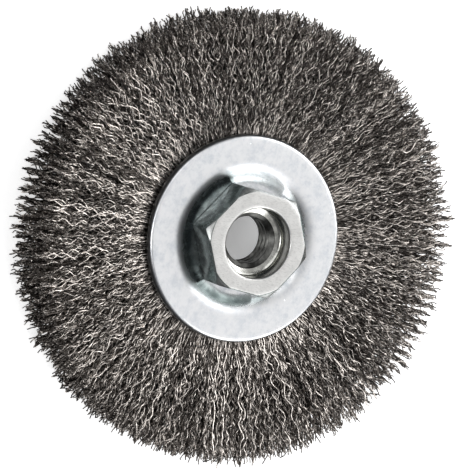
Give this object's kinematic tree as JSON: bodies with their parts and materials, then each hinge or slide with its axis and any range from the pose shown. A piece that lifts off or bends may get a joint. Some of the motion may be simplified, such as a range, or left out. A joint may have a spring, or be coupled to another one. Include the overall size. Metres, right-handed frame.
{
  "type": "wire wheel brush",
  "caption": "Crimped steel wire wheel brush for an angle grinder, with two pressed zinc-plated flanges and a threaded hexagonal arbor nut.",
  "frame": {"origin": "on the wheel's axis, at the level of the lowest wires on the rear side, which it lies on", "axes": "+Z along the axis, out of the nut's mouth; +X square to one pair of the nut's flats"},
  "size_m": [0.1164, 0.1156, 0.0227],
  "materials": {
    "nut_steel": "satin",
    "zinc_flange": "bright zinc plate",
    "steel_wire": "drawn wire",
    "inner_steel": "plain"
  },
  "bodies": {
    "root": {"arbor_nut": "nut_steel", "front_flange": "zinc_flange", "rear_flange": "zinc_flange", "spacer_ring": "inner_steel", "core_ring": "inner_steel", "front_wires": "steel_wire", "middle_wires": "steel_wire", "rear_wires": "steel_wire"}
  },
  "joints": []
}
